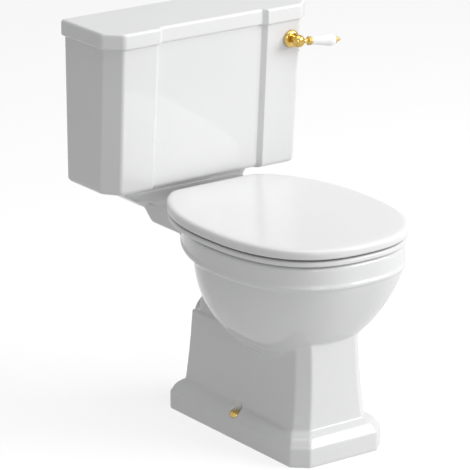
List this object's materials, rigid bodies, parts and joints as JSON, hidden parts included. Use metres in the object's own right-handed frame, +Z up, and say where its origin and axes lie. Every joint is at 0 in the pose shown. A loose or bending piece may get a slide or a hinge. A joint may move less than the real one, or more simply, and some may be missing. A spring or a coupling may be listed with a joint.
{
  "type": "close coupled toilet",
  "caption": "Traditional close coupled toilet with a china pan and cistern, hinged seat and lid, side lever and siphon flush.",
  "frame": {"origin": "on the floor, midway between the two floor fixing holes of the pan", "axes": "+Z up, -Y towards the front of the bowl, +Y towards the wall, +X to the lever side"},
  "size_m": [0.5323, 0.6598, 0.7883],
  "materials": {
    "china": "white glazed vitreous china",
    "seat_gloss": "white lacquered seat, satin gloss",
    "grip_china": "white glazed ceramic",
    "brass": "polished gold brass",
    "steel": "stainless steel",
    "rubber": "soft black rubber",
    "nylon": "moulded white nylon",
    "float_plastic": "moulded white plastic"
  },
  "bodies": {
    "base": {"pan": "china", "floor_sleeves": "nylon", "floor_caps": "brass", "cistern": "china", "coupling_gasket": "rubber", "coupling_bolts": "brass", "coupling_washers": "rubber", "coupling_wing_nuts": "brass", "hinge_posts": "brass", "hinge_pins": "steel", "hinge_washers": "rubber", "hinge_nuts": "nylon", "lever_rose": "brass", "lever_seal": "rubber", "lever_backnut": "brass", "siphon_body": "nylon", "siphon_washer": "rubber", "siphon_nut": "nylon", "fill_valve": "nylon", "fill_valve_washer": "rubber", "fill_valve_nut": "brass", "fill_valve_pin": "steel"},
    "tank_lid": {"cistern_lid": "china"},
    "seat_ring_body": {"seat_ring": "seat_gloss", "ring_buffers": "rubber"},
    "seat_lid_body": {"seat_lid": "seat_gloss", "lid_buffers": "rubber"},
    "flush_lever": {"lever_arm": "brass", "lever_spindle": "steel", "lever_grip": "grip_china", "lever_finial": "brass", "lever_crank": "steel"},
    "siphon_lift": {"siphon_plate": "nylon", "siphon_flap": "rubber", "siphon_link": "steel"},
    "float_swing": {"float_arm": "brass", "float_ball": "float_plastic"}
  },
  "joints": [
    {"name": "ring_hinge", "type": "hinge", "parent": "base", "child": "seat_ring_body", "pos_m": [0, 0.1935, 0.444], "axis": [-1, 0, 0], "range_deg": [0, 84]},
    {"name": "lid_hinge", "type": "hinge", "parent": "seat_ring_body", "child": "seat_lid_body", "pos_m": [0, 0.1935, 0.444], "axis": [1, 0, 0], "range_deg": [-84, 0]},
    {"name": "tank_lid_lift", "type": "slide", "parent": "base", "child": "tank_lid", "axis": [0, 0, 1], "range_m": [0, 0.15]},
    {"name": "lever_turn", "type": "hinge", "parent": "base", "child": "flush_lever", "pos_m": [0.191, 0.2, 0.718], "axis": [0, 1, 0], "range_deg": [0, 32]},
    {"name": "siphon_rise", "type": "slide", "parent": "base", "child": "siphon_lift", "axis": [0, 0, 1], "range_m": [0, 0.0618]},
    {"name": "float_hinge", "type": "hinge", "parent": "base", "child": "float_swing", "pos_m": [0.16147, 0.291, 0.672], "axis": [0, 1, 0], "range_deg": [0, 20]}
  ],
  "couplings": [
    {"joint": "siphon_rise", "follows": "lever_turn", "m_per_rad": 0.11055}
  ]
}
